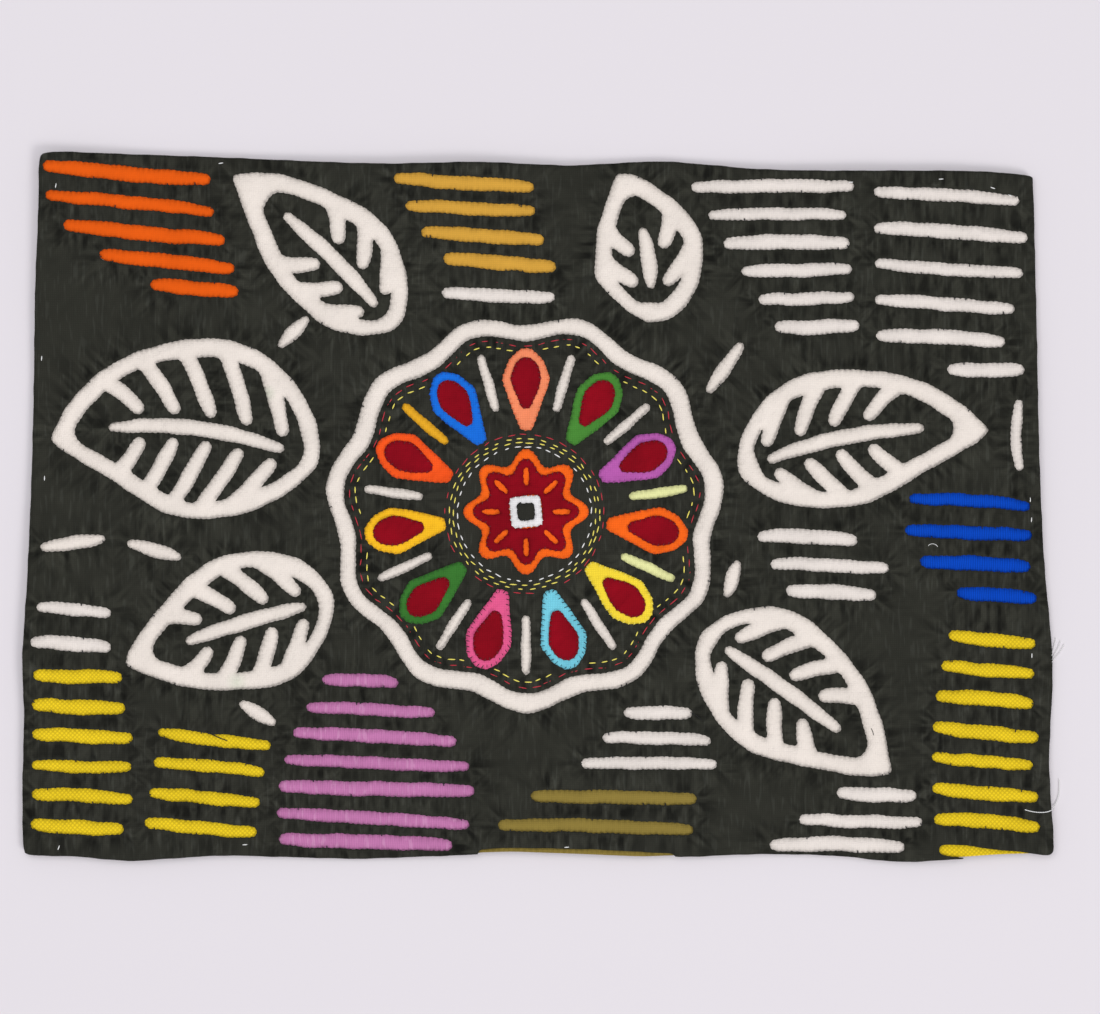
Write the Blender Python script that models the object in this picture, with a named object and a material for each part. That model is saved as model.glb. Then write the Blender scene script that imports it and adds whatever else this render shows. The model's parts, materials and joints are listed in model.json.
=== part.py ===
"""Mola panel: a hand-sewn panel of layered cotton that lies flat, face up.

Cream base cloth at the bottom, coloured inlays on it, charcoal ground cloth on top with its channels
and slits cut through, and patches sewn on the ground. Each cloth is a closed solid of its own.
The panel is made in metres, with +Z up out of its face and +X along its length; the tables are in
millimetres, which is how a maker would measure it. The origin is the middle of its underside.
"""

import math
import random

import bmesh
import bpy
from mathutils import Vector
from mathutils.geometry import delaunay_2d_cdt

MM = 0.001

# The rim, side by side, as (x, y) in millimetres: hand-cut, wider at the bottom, a little wavy
TOP_SIDE = (
    (-207.3, 147.2), (-200.6, 148.3), (-175.4, 147.4), (-137.6, 146.2), (-99.8, 144.5),
    (-62.0, 143.2), (-24.2, 144.1), (13.7, 142.4), (51.5, 144.5), (89.3, 141.1),
    (127.1, 140.3), (177.5, 140.3), (203.5, 138.6), (206.4, 136.6),
)
RIGHT_SIDE = (
    (206.9, 128.9), (208.1, 74.3), (209.0, 23.9), (211.1, -22.3), (214.4, -55.9),
    (214.8, -76.9), (213.2, -106.3), (214.8, -133.6), (215.2, -143.6),
)
BOTTOM_SIDE = (
    (213.6, -145.2), (190.0, -145.7), (152.3, -148.3), (127.1, -145.7), (89.3, -144.9),
    (43.1, -146.6), (-11.6, -144.5), (-74.6, -147.0), (-131.3, -145.3), (-169.1, -147.8),
    (-190.0, -145.9), (-213.0, -145.4),
)
LEFT_SIDE = (
    (-215.0, -143.5), (-215.3, -116.8), (-214.4, -85.3), (-215.3, -64.3), (-213.2, -32.8),
    (-211.5, 9.2), (-210.6, 44.9), (-209.8, 93.2), (-208.5, 120.5), (-208.1, 144.5),
)

# Curve steps between two points of the rim
RIM_STEPS = 2

# Points closer than this in millimetres count as one when a cloth is cut
SAME_POINT = 1e-5

# Thickness of every cloth, the gap that parts one layer from the next, and the underside of each layer
CLOTH_THICK = 1.0
LAYER_GAP = 0.3
LAYER = CLOTH_THICK + LAYER_GAP
BASE_LEVEL = 0.0
INLAY_LEVEL = BASE_LEVEL + LAYER
GROUND_LEVEL = INLAY_LEVEL + LAYER
PATCH_LEVEL = GROUND_LEVEL + LAYER
CENTRE_LEVEL = PATCH_LEVEL + LAYER

# Slits: how narrow their ends are next to their middle, and the points round each end
SLIT_TAPER = 0.8
END_STEPS = 4

# Cream channels: the band round each leaf and round the medallion
BAND = 7.4

# A leaf's veins: from their first place along the leaf, how far apart, how far each sweeps to the tip,
# how far it bows, and how much of the band its root reaches into
VEIN_WIDTH = 6.6
VEIN_TAPER = 0.86
VEIN_START = 17.0
VEIN_PITCH = 14.4
VEIN_SWEEP = 12.5
VEIN_BOW = 1.4
VEIN_SHORTEST = 5.0
VEIN_ROOT = 0.6

# A leaf's rib, and the charcoal left between it and the veins
RIB_WIDTH = 6.6
RIB_TAPER = 0.62
RIB_STEPS = 6
RIB_TO_VEIN = 4.2
RIB_FROM_BASE = 15.5
RIB_FROM_TIP = 26.0

# A leaf's curve: powers that set where it is fullest and how blunt it is, points on each side, parts that
# its axis is measured in, and the half width under which its charcoal island stops
LEAF_FULLEST = 0.8
LEAF_BLUNTNESS = 0.75
LEAF_STEPS = 26
AXIS_PARTS = 8
ISLAND_HALF = 1.6

# A leaf's slope: the share of its axis that it is taken over, and the steepest that the band follows
SLOPE_STEP = 0.002
STEEPEST = 3.0

# Leaf: name, base, bend and tip of its axis, greatest half width, veins on its upper and lower side
LEAVES = (
    ("leaf_left", (-92, 18), (-148, 44), (-203, 28), 38.0, 6, 6),
    ("leaf_low_left", (-85, -39), (-124, -46), (-172, -66), 29.0, 4, 4),
    ("leaf_top_left", (-60, 74), (-84, 108), (-127, 138), 24.5, 4, 4),
    ("leaf_top", (46, 77), (51, 110), (33, 139), 23.0, 2, 2),
    ("leaf_right", (84, 14), (128, 37), (188, 32), 29.0, 5, 5),
    ("leaf_low_right", (68, -53), (104, -74), (147, -111), 29.5, 5, 5),
)

# How far the scissors waver off a leaf and off the medallion's ring, and how often
WOBBLE = 0.7
LEAF_WAVERS = 13
WIDE_ENOUGH = 6.0
RING_WAVERS = 3

# Round medallion in the middle: a lobed cream ring with a charcoal field inside it
MEDALLION_CENTRE = (-5, -2)
MEDALLION_RADIUS = 81.0
LOBES = 11
LOBE_DEPTH = 2.6
MEDALLION_STEPS = 110

# Red flower sewn at its heart: radius to a petal's tip and to the notch between two petals. A shoulder
# stands this share of a petal to each side of the tip, at this share of the tip's radius
PETALS = 8
PETAL_SHOULDER = (0.17, 0.95)
BORDER_RADII = (26.5, 19.0)
RED_RADII = (22.4, 15.6)

# A slit in each red petal: its reach from the centre, and its width
RED_SLIT = (11.8, 17.6)
RED_SLIT_WIDTH = 2.4

# The square eye in the middle: sides of its white frame and of its charcoal, and its lean in radians
EYE_FRAME_SIDE = 13.0
EYE_SIDE = 6.6
EYE_LEAN = 0.09

# Kites round the flower: cloth of each in turn, their inner and outer end and greatest width
KITES = (
    "peach", "green", "purple", "orange", "yellow", "light_blue",
    "rose", "deep_green", "gold", "vermilion", "blue",
)
KITE_REACH = (34.0, 68.0)
KITE_WIDTH = 20.0
KITE_BORDER = 3.5
KITE_WIDEST = 0.64

# A kite's blunt ends, and its shoulders inside and outside the widest place: how far off, and how wide
KITE_BLUNT = 2.4
INNER_SHOULDER = (6.0, 0.82)
OUTER_SHOULDER = (4.5, 0.72)

# How far a kite's corners move for each millimetre that its centre is drawn in from its border
POINT_INSET = 2.6
BLUNT_INSET = 0.2
INNER_INSET = 0.4
OUTER_INSET = 0.5

# Slits between the kites: an inlay shows in some, and the cream base in the others
RAY_REACH = (45.0, 66.5)
RAY_WIDTH = 4.4
RAY_INLAYS = {2: "pale_yellow", 3: "pale_yellow", 9: "gold"}

# Filler slits: inlay, cloth, slits, left end of the top one, step down to the next one, how much the steps
# drift to the right, lengths of the first, middle and last, tilt in degrees
FILLERS = (
    ("orange", "orange", 5, (-204, 142), (-2.5, -12.3), 3.4, (65, 62, 33), -5.5),
    ("ochre", "ochre", 4, (-58, 137), (3.6, -11.2), 1.1, (54, 50, 44), -3.6),
    ("white_ochre", "white", 1, (-38, 89.6), (0, 0), 0, (42, 42, 42), -3.0),
    ("white_top", "white", 6, (66, 133.5), (7.0, -11.7), 0, (63, 44, 32), 0.4),
    ("white_corner", "white", 5, (142, 131.5), (0.3, -15.0), 0, (58, 58, 50), -3.6),
    ("white_short", "white", 1, (173, 57.5), (0, 0), 0, (27, 27, 27), -1.0),
    ("blue", "blue", 4, (157, 3.5), (-6.0, -13.1), 4.2, (45, 46, 29), -3.4),
    ("white_middle", "white", 3, (94, -12), (4.0, -11.6), 1.0, (38, 44, 32), -2.6),
    ("yellow_right", "yellow", 8, (173.5, -53.5), (-3.4, -12.75), 0.4, (33, 39, 40), -5.0),
    ("white_left", "white", 2, (-207, -41.6), (-2.2, -14.6), 0, (26, 27, 28), -5.0),
    ("yellow_left", "yellow", 6, (-208.5, -70), (-0.2, -12.5), 0, (33, 37, 35), -2.4),
    ("yellow_low", "yellow", 4, (-156.5, -94), (-1.9, -12.6), 0, (44, 44, 42), -6.2),
    ("pink", "pink", 7, (-88, -72.2), (-7.5, -11.1), 0.75, (28, 74, 68), -2.4),
    ("olive", "olive", 3, (-1, -120.5), (-16.0, -12.0), 2.5, (64, 77, 78), -0.8),
    ("white_foot", "white", 3, (38, -85.6), (-9.0, -10.7), 0, (24, 40, 52), -0.8),
    ("white_low_right", "white", 3, (127, -119.6), (-18.0, -10.7), 2.0, (30, 46, 52), -0.8),
)
SLIT_WIDTH = 5.8
INLAY_MARGIN = 2.2

# How unlike each other the slits are: in length, tilt in degrees, width, bow and waver
SEED = 17
LENGTH_SPREAD = 1.5
TILT_SPREAD = 1.2
WIDTH_SPREAD = 0.6
BOW = (-0.5, 0.8)
WAVER = 0.3
SPINE_STEPS = 6

# One more slit stands upright near the right rim: its centre, height, bend and width
UPRIGHT = ("white_upright", "white", (199, 30), 26)
UPRIGHT_BEND = 0.8
UPRIGHT_WIDTH = 4.6

# Single drops that fill a bare spot and show the base: centre, length, lean in degrees
DROPS = (
    ((-194, -15), 24, 8), ((-160, -18), 20, -16), ((-102, 73), 14, 46), ((-117, -86), 14, -30),
    ((78, 58), 22, 55), ((81, -30), 13, 72),
)
DROP_WIDTH = 6.0
DROP_TAPER = 0.6

CLOTH_COLOURS = {
    "cream": (0.80, 0.73, 0.64), "charcoal": (0.032, 0.033, 0.027), "white": (0.78, 0.72, 0.69),
    "orange": (0.87, 0.13, 0.02), "ochre": (0.61, 0.34, 0.06), "blue": (0.004, 0.07, 0.56),
    "yellow": (0.75, 0.55, 0.03), "pink": (0.53, 0.18, 0.42), "olive": (0.26, 0.19, 0.05),
    "pale_yellow": (0.75, 0.72, 0.38), "gold": (0.80, 0.42, 0.03), "red": (0.25, 0.006, 0.015),
    "peach": (0.83, 0.27, 0.14), "green": (0.06, 0.20, 0.03), "purple": (0.35, 0.10, 0.32),
    "light_blue": (0.22, 0.57, 0.68), "deep_green": (0.05, 0.18, 0.03), "vermilion": (0.80, 0.09, 0.02),
    "rose": (0.78, 0.10, 0.24),
}
CLOTH_ROUGHNESS = 0.9


def along(points, t):
    """Point on the quadratic curve through a base, a bend and a tip."""
    base, bend, tip = (Vector(p) for p in points)
    return base * (1 - t) ** 2 + bend * 2 * t * (1 - t) + tip * t * t


def across(points, t):
    """Unit vector to the left of that curve."""
    base, bend, tip = (Vector(p) for p in points)
    run = ((bend - base) * (1 - t) + (tip - bend) * t).normalized()
    return Vector((-run.y, run.x))


def turned(arm, angle):
    """Vector turned by an angle in radians."""
    c, s = math.cos(angle), math.sin(angle)
    return Vector((arm[0] * c - arm[1] * s, arm[0] * s + arm[1] * c))


def placed(radius, angle):
    """Point at a distance and an angle from the medallion's centre."""
    return Vector(MEDALLION_CENTRE) + turned((radius, 0), angle)


def smooth_side(points, steps):
    """Catmull-Rom curve through a side's points, from its first to its last."""
    line = [Vector(p) for p in points]
    padded = [line[0] * 2 - line[1], *line, line[-1] * 2 - line[-2]]
    curve = []
    for a, b, c, d in zip(padded, padded[1:], padded[2:], padded[3:]):
        for k in range(steps):
            t = k / steps
            curve.append(
                (b * 2 + (c - a) * t + (a * 2 - b * 5 + c * 4 - d) * t * t
                 + (b * 3 - a - c * 3 + d) * t ** 3) / 2
            )
    return [*curve, line[-1]]


def rim():
    """The panel's outline."""
    sides = (TOP_SIDE, RIGHT_SIDE, BOTTOM_SIDE, LEFT_SIDE)
    return [p for side in sides for p in smooth_side(side, RIM_STEPS)]


def strip(spine, width, taper=SLIT_TAPER):
    """Outline of a slit with round ends along a spine, fullest in its middle."""
    count = len(spine) - 1
    left, right = [], []
    for i, point in enumerate(spine):
        run = (spine[min(i + 1, count)] - spine[max(i - 1, 0)]).normalized()
        side = Vector((-run.y, run.x))
        half = width / 2 * (taper + (1 - taper) * math.sqrt(max(math.sin(math.pi * i / count), 0.0)))
        left.append(point + side * half)
        right.append(point - side * half)
    first, last = (left[0] + right[0]) / 2, (left[-1] + right[-1]) / 2
    turns = [-math.pi * k / END_STEPS for k in range(1, END_STEPS)]
    tail = [turned(left[-1] - last, turn) + last for turn in turns]
    head = [turned(right[0] - first, turn) + first for turn in turns]
    return [*left, *tail, *reversed(right), *head]


def leaf_half_width(widest, t):
    """Half width of a leaf: round at its base, pointed at its tip."""
    return widest * max(math.sin(math.pi * t ** LEAF_FULLEST), 0.0) ** LEAF_BLUNTNESS


def leaf_slope(widest, length, t):
    """How steeply a leaf's side rises from its axis, up to a limit."""
    low, high = max(t - SLOPE_STEP, 0.0), min(t + SLOPE_STEP, 1.0)
    slope = (leaf_half_width(widest, high) - leaf_half_width(widest, low)) / (high - low) / length
    return min(abs(slope), STEEPEST)


def leaf_outline(axis, widest, inset):
    """Outline of a leaf, drawn in by an inset. The scissors waver a little on the way round."""
    marks = [along(axis, k / AXIS_PARTS) for k in range(AXIS_PARTS + 1)]
    length = sum((b - a).length for a, b in zip(marks, marks[1:]))
    upper, lower = [], []
    for k in range(LEAF_STEPS + 1):
        t = (1 - math.cos(math.pi * k / LEAF_STEPS)) / 2
        half = leaf_half_width(widest, t) - inset * math.hypot(1, leaf_slope(widest, length, t))
        if half < ISLAND_HALF and inset > 0:
            continue
        waver = WOBBLE * math.sin(t * LEAF_WAVERS + widest + inset) * min(half / WIDE_ENOUGH, 1.0)
        upper.append(along(axis, t) + across(axis, t) * max(half + waver, 0.0))
        lower.append(along(axis, t) - across(axis, t) * max(half - waver, 0.0))
    return [*lower, *reversed(upper[1:-1])] if inset == 0 else [*lower, *reversed(upper)]


def leaf_veins(axis, widest, upper_count, lower_count):
    """Strips that run in from the band of a leaf and stop short of its rib."""
    length = (Vector(axis[2]) - Vector(axis[0])).length
    veins = []
    for side, count in ((1, upper_count), (-1, lower_count)):
        for k in range(count):
            inner = (VEIN_START + k * VEIN_PITCH) / length
            outer = inner + VEIN_SWEEP / length
            root_half = leaf_half_width(widest, outer) - BAND * VEIN_ROOT
            tip_half = RIB_WIDTH / 2 + RIB_TO_VEIN
            if root_half < tip_half + VEIN_SHORTEST:
                continue
            root = along(axis, outer) + across(axis, outer) * side * root_half
            tip = along(axis, inner) + across(axis, inner) * side * tip_half
            middle = (root + tip) / 2 + across(axis, inner) * side * VEIN_BOW
            veins.append(strip(smooth_side((tip, middle, root), 2), VEIN_WIDTH, VEIN_TAPER))
    return veins


def leaf_rib(axis):
    """The strip along the middle of a leaf."""
    length = (Vector(axis[2]) - Vector(axis[0])).length
    start, end = RIB_FROM_BASE / length, 1 - RIB_FROM_TIP / length
    spine = [along(axis, start + (end - start) * k / RIB_STEPS) for k in range(RIB_STEPS + 1)]
    return strip(spine, RIB_WIDTH, RIB_TAPER)


def medallion_ring(radius):
    """Lobed circle round the medallion's centre."""
    points = []
    for k in range(MEDALLION_STEPS):
        angle = 2 * math.pi * k / MEDALLION_STEPS
        waver = WOBBLE * math.sin(angle * RING_WAVERS + radius)
        points.append(placed(radius + waver + LOBE_DEPTH * math.sin(LOBES * angle), angle))
    return points


def petals(radii):
    """Outline of the flower patch: a blunt point for each petal and a notch between two."""
    tip, notch = radii
    side, shoulder = PETAL_SHOULDER[0], tip * PETAL_SHOULDER[1]
    points = []
    for k in range(PETALS):
        for share, reach in ((-side, shoulder), (0.0, tip), (side, shoulder), (0.5, notch)):
            points.append(placed(reach, 2 * math.pi * (k + share) / PETALS))
    return points


def square(side):
    """Square at the medallion's centre, leaning a little."""
    half = side / 2
    corners = ((-half, -half), (half, -half), (half, half), (-half, half))
    return [Vector(MEDALLION_CENTRE) + turned(corner, EYE_LEAN) for corner in corners]


def radial_strip(reach, angle, width):
    """Straight slit that points away from the medallion's centre."""
    inner, outer = reach
    return strip([placed(inner + (outer - inner) * k / 2, angle) for k in range(3)], width)


def kite(index, inset):
    """Patch that points away from the medallion's centre, drawn in by an inset."""
    inner, outer = KITE_REACH
    widest = inner + (outer - inner) * KITE_WIDEST
    half = KITE_WIDTH / 2 - inset
    blunt = KITE_BLUNT - inset * BLUNT_INSET
    shape = (
        (inner + inset * POINT_INSET, blunt),
        (widest - INNER_SHOULDER[0] + inset * INNER_INSET, half * INNER_SHOULDER[1]),
        (widest, half),
        (outer - OUTER_SHOULDER[0] - inset * OUTER_INSET, half * OUTER_SHOULDER[1]),
        (outer - inset, blunt),
    )
    sides = [*shape, *((reach, -side) for reach, side in reversed(shape))]
    return [Vector(MEDALLION_CENTRE) + turned(corner, spoke(index)) for corner in sides]


def spoke(index):
    """Angle of a kite, the first one upright. A half step more is the slit beside it."""
    return math.pi / 2 - 2 * math.pi * index / len(KITES)


def between(first, middle, last, t):
    """Quadratic curve through three lengths at the start, the middle and the end."""
    return first + (4 * middle - 3 * first - last) * t + (2 * first - 4 * middle + 2 * last) * t * t


def filler_slits():
    """Every slit of each filler group, by the inlay that shows in it, each cut a little unlike the next."""
    drawn = random.Random(SEED)
    groups = {}
    for inlay, _, count, start, step, drift, lengths, tilt in FILLERS:
        slits = []
        for k in range(count):
            length = between(*lengths, k / max(count - 1, 1)) + drawn.uniform(-LENGTH_SPREAD, LENGTH_SPREAD)
            angle = math.radians(tilt + drawn.uniform(-TILT_SPREAD, TILT_SPREAD))
            width = SLIT_WIDTH + drawn.uniform(-WIDTH_SPREAD, WIDTH_SPREAD)
            left = Vector(start) + Vector(step) * k + Vector((drift * k * k, 0))
            bow = drawn.uniform(*BOW)
            spine = []
            for m in range(SPINE_STEPS + 1):
                share = m / SPINE_STEPS
                waver = bow * math.sin(math.pi * share) + drawn.uniform(-WAVER, WAVER)
                spine.append(left + turned((length * share, waver), angle))
            slits.append(strip(spine, width))
        groups[inlay] = slits
    inlay, _, centre, height = UPRIGHT
    spine = [Vector(centre) + Vector((UPRIGHT_BEND * abs(k), height / 4 * k)) for k in (-2, -1, 0, 1, 2)]
    groups[inlay] = [strip(spine, UPRIGHT_WIDTH)]
    return groups


def drops():
    """Single slits with a fuller middle."""
    made = []
    for centre, length, lean in DROPS:
        arm = turned((length / 4, 0), math.radians(lean))
        made.append(strip([Vector(centre) + arm * k for k in (-2, -1, 0, 1, 2)], DROP_WIDTH, DROP_TAPER))
    return made


def rays():
    """Slits between the kites, by their number."""
    return [radial_strip(RAY_REACH, spoke(k + 0.5), RAY_WIDTH) for k in range(len(KITES))]


def boxed(slit):
    """Straight scrap that backs one slit, with a margin all round."""
    left, right = min(p.x for p in slit) - INLAY_MARGIN, max(p.x for p in slit) + INLAY_MARGIN
    low, high = min(p.y for p in slit) - INLAY_MARGIN, max(p.y for p in slit) + INLAY_MARGIN
    return [Vector(corner) for corner in ((left, low), (right, low), (right, high), (left, high))]


def inlay_outline(slits):
    """Scrap that backs a group of slits: down along their right ends and back up along their left ends."""
    rights, lefts = [], []
    for slit in slits:
        right, left = max(slit, key=lambda p: p.x), min(slit, key=lambda p: p.x)
        rights.append(right + Vector((INLAY_MARGIN, 0)))
        lefts.append(left - Vector((INLAY_MARGIN, 0)))
    lift = Vector((0, SLIT_WIDTH / 2 + INLAY_MARGIN))
    return [lefts[0] + lift, rights[0] + lift, *rights, rights[-1] - lift, lefts[-1] - lift, *reversed(lefts)]


def counter_clockwise(loop):
    """The loop, turned round if it runs clockwise."""
    area = sum(a.cross(b) for a, b in zip(loop, [*loop[1:], loop[0]]))
    return loop if area > 0 else loop[::-1]


def cloth_mesh(name, outline, cuts, level, limit=None):
    """Closed sheet of one cloth: its outline less its cuts and within a limit, up from its level."""
    loops = [counter_clockwise(loop) for loop in (outline, *cuts, *([limit] if limit else []))]
    inner = len(cuts) + 1
    points, faces = [], []
    for loop in loops:
        faces.append(list(range(len(points), len(points) + len(loop))))
        points += loop
    verts, _, triangles, _, _, inside = delaunay_2d_cdt(points, [], faces, 1, SAME_POINT)
    bm = bmesh.new()
    made = [bm.verts.new((v.x * MM, v.y * MM, level * MM)) for v in verts]
    for triangle, owners in zip(triangles, inside):
        cut = any(0 < owner < inner for owner in owners)
        kept = 0 in owners and not cut and (limit is None or inner in owners)
        if kept:
            bm.faces.new([made[i] for i in triangle])
    bmesh.ops.delete(bm, geom=[v for v in bm.verts if not v.link_faces], context="VERTS")
    top = bmesh.ops.extrude_face_region(bm, geom=list(bm.faces), use_keep_orig=True)["geom"]
    lifted = [g for g in top if isinstance(g, bmesh.types.BMVert)]
    bmesh.ops.translate(bm, verts=lifted, vec=(0, 0, CLOTH_THICK * MM))
    bmesh.ops.recalc_face_normals(bm, faces=bm.faces)
    mesh = bpy.data.meshes.new(name)
    bm.to_mesh(mesh)
    bm.free()
    return mesh


def cloth_material(cloth):
    """Woven cotton in one colour."""
    found = bpy.data.materials.get(cloth)
    if found:
        return found
    material = bpy.data.materials.new(cloth)
    material.use_nodes = True
    shader = material.node_tree.nodes["Principled BSDF"]
    shader.inputs["Base Color"].default_value = (*CLOTH_COLOURS[cloth], 1.0)
    shader.inputs["Roughness"].default_value = CLOTH_ROUGHNESS
    return material


def add_cloth(name, cloth, outline, cuts, level, limit=None):
    """One named piece of cloth in the scene."""
    mesh = cloth_mesh(name, outline, cuts, level, limit)
    mesh.materials.append(cloth_material(cloth))
    bpy.context.scene.collection.objects.link(bpy.data.objects.new(name, mesh))


def add_base_and_ground(groups):
    """The cream base, and the charcoal ground with every channel and slit cut through it."""
    add_cloth("base_cloth", "cream", rim(), [], BASE_LEVEL)
    cuts = [leaf_outline(leaf[1:4], leaf[4], 0) for leaf in LEAVES]
    cuts.append(medallion_ring(MEDALLION_RADIUS))
    cuts += drops()
    cuts += [slit for slits in groups.values() for slit in slits]
    add_cloth("ground_cloth", "charcoal", rim(), cuts, GROUND_LEVEL)


def add_leaf_fields():
    """The charcoal island inside each leaf, cut by its veins and rib; no scrap parts it from the base."""
    for name, base, bend, tip, widest, upper, lower in LEAVES:
        axis = (base, bend, tip)
        cuts = [*leaf_veins(axis, widest, upper, lower), leaf_rib(axis)]
        field = leaf_outline(axis, widest, BAND)
        add_cloth(f"{name}_field", "charcoal", field, cuts, INLAY_LEVEL)


def add_medallion():
    """The charcoal island inside the ring, the flower at its heart and the kites round it."""
    field = medallion_ring(MEDALLION_RADIUS - BAND)
    add_cloth("medallion_field", "charcoal", field, rays(), GROUND_LEVEL)
    slits = [
        radial_strip(RED_SLIT, 2 * math.pi * k / PETALS, RED_SLIT_WIDTH) for k in range(PETALS)
    ]
    window = square(EYE_FRAME_SIDE + 2 * LAYER_GAP)
    eye_hole = square(EYE_SIDE + 2 * LAYER_GAP)
    add_cloth("flower_border", "orange", petals(BORDER_RADII), [], PATCH_LEVEL)
    add_cloth("flower_red", "red", petals(RED_RADII), [window, *slits], CENTRE_LEVEL)
    add_cloth("eye_frame", "white", square(EYE_FRAME_SIDE), [eye_hole], CENTRE_LEVEL)
    add_cloth("eye", "charcoal", square(EYE_SIDE), [], CENTRE_LEVEL)
    for index, cloth in enumerate(KITES):
        name = f"kite_{index + 1:02d}"
        add_cloth(f"{name}_border", cloth, kite(index, 0), [], PATCH_LEVEL)
        add_cloth(f"{name}_centre", "red", kite(index, KITE_BORDER), [], CENTRE_LEVEL)


def add_inlays(groups):
    """A coloured scrap under each group of slits, trimmed to the rim."""
    cloths = {row[0]: row[1] for row in (*FILLERS, UPRIGHT)}
    for group, slits in groups.items():
        scrap = boxed(slits[0]) if group == UPRIGHT[0] else inlay_outline(slits)
        add_cloth(f"inlay_{group}", cloths[group], scrap, [], INLAY_LEVEL, rim())
    for index, cloth in RAY_INLAYS.items():
        reach = (RAY_REACH[0] - INLAY_MARGIN / 2, RAY_REACH[1] + INLAY_MARGIN / 2)
        scrap = radial_strip(reach, spoke(index + 0.5), RAY_WIDTH + INLAY_MARGIN)
        add_cloth(f"inlay_ray_{index + 1}", cloth, scrap, [], INLAY_LEVEL)


def main():
    for old in list(bpy.data.objects):
        bpy.data.objects.remove(old)
    groups = filler_slits()
    add_base_and_ground(groups)
    add_leaf_fields()
    add_medallion()
    add_inlays(groups)


main()
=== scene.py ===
"""Looks of the mola panel: cotton layers with turned and sewn edges, stitches, light and camera.

Each cloth is drawn again from the outline and the cuts of its CAD solid, with a fine surface: edges that
roll under, puckers where the thread pulls, and a soft crown where a lower cloth swells up through a cut.
Lengths are in millimetres while a piece is made, and a finished piece is in metres.
"""

import json
import math
import random

import bmesh
import bpy
import numpy as np
from mathutils import Matrix, Vector, kdtree, noise
from mathutils.bvhtree import BVHTree
from mathutils.geometry import delaunay_2d_cdt


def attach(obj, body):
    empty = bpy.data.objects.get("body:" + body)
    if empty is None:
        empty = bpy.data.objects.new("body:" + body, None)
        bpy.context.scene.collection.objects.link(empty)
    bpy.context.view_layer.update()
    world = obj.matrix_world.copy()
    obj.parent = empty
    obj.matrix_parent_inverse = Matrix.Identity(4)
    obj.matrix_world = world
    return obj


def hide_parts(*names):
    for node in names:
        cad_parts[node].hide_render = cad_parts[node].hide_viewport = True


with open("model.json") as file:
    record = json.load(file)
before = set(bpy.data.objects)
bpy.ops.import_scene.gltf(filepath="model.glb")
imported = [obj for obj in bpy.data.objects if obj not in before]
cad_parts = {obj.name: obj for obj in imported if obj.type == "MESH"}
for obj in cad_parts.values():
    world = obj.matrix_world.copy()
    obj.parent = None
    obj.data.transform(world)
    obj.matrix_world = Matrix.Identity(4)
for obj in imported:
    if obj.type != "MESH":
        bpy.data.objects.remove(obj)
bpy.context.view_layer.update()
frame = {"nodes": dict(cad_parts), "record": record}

SLOTS = {part["node"]: part["material_slot"] for part in frame["record"]["subparts"]}
MM = 0.001

# Stands in for a length of nothing where something is divided by it
TINY = 1e-9

# Height of each cloth's flat part over the lowest one's underside, and how far that lies over the table
BASE_LEVEL = 1.15
INLAY_LEVEL = 1.6
GROUND_LEVEL = 2.7
PATCH_LEVEL = 3.4
CENTRE_LEVEL = 4.2
EYE_LEVEL = CENTRE_LEVEL - 0.3
CLEARANCE = 0.5

# How far a lower cloth swells up through the cuts over it
BASE_CROWN = 0.75
INLAY_CROWN = 0.8

# Sewing: from stitch to stitch, from one wider pucker to the next, and the thread's thickness
STITCH_PITCH = 2.3
PUCKER_PITCH = 4.2
THREAD = 0.42
POINTS_PER_STITCH = 3
EDGE_SPACING = STITCH_PITCH / POINTS_PER_STITCH

# Turned edges: radius of the roll at a cut and at the rim, and how far in from the rim the lower cloths end
EDGE_ROLL = 0.5
RIM_ROLL = 1.2
RIM_INSET = 0.9

# The hem: how far in from the rim its rows lie, the spacing along them, and the gap to the cloth over it
HEM_ROWS = (RIM_INSET, 3.0, 5.5, 8.0)
HEM_SPACING = 3.0
HEM_GAP = 0.1

# How much of a corner the turned edge rounds off, at a slit of less than this area and elsewhere
SLIT_AREA = 800.0
SLIT_CORNER = 1.0
CORNER = 3.0

# Spacing of the surface's points on the ground, on what shows through a cut, and where nothing shows
GROUND_SPACING = 1.4
SHOWN_SPACING = 0.85
HIDDEN_SPACING = 4.0

# The least width, in metres, of a sheet; a narrower scrap is put on a list, and goes with what it lies on
NARROWEST_SHEET = 0.01

# Corners of a solid closer than this, in metres, are one, and a face whose normal rises more is its top
WELD = 1e-6
TOP_RISE = 0.9


def cut_lines(node):
    """The outline and then the cuts of a CAD cloth, in millimetres, each with the cloth on its left."""
    bm = bmesh.new()
    bm.from_mesh(frame["nodes"][node].data)
    bmesh.ops.remove_doubles(bm, verts=bm.verts, dist=WELD)
    following = {}
    for face in bm.faces:
        if face.normal.z > TOP_RISE:
            for corner in face.loops:
                if corner.link_loop_radial_next.face.normal.z < TOP_RISE:
                    following[corner.vert] = corner.link_loop_next.vert
    lines = []
    while following:
        line, here = [], next(iter(following))
        while here in following:
            line.append((here.co.x / MM, here.co.y / MM))
            here = following.pop(here)
        lines.append(np.array(line))
    bm.free()
    return sorted(lines, key=lambda line: -enclosed(line))


def enclosed(line):
    """Area inside a closed line, positive for an outline and negative for a cut."""
    ahead = np.roll(line, -1, axis=0)
    return float((line[:, 0] * ahead[:, 1] - line[:, 1] * ahead[:, 0]).sum() / 2)


# How often a line's corners are cut, and the most of a side that one cut takes
CORNER_CUTS = 3
SIDE_SHARE = 0.25


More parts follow.
